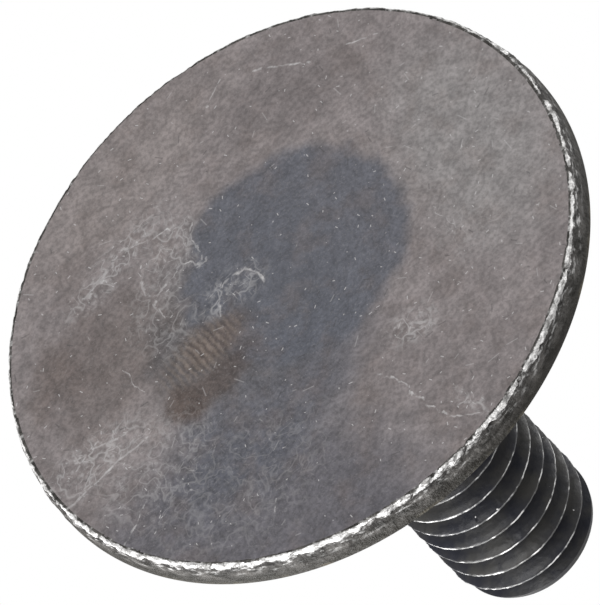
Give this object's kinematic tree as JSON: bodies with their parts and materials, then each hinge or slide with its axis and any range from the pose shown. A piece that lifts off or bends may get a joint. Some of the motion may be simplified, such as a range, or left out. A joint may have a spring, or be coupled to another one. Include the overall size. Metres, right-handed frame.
{
  "type": "elevator bolt",
  "caption": "Elevator bolt with a wide flat countersunk head, a square neck and a short threaded shank, for fastening buckets to a belt or a levelling foot to a leg.",
  "frame": {"origin": "centre of the head's flat face, which is the base the bolt stands on", "axes": "+Z along the shank, from the head to the point; X and Y square to the neck's flats"},
  "size_m": [0.0304, 0.0304, 0.0255],
  "materials": {
    "plain_steel": "plain dark mill-scaled steel, oiled and scuffed, with bright burrs"
  },
  "bodies": {
    "root": {"elevator_bolt": "plain_steel"}
  },
  "joints": []
}
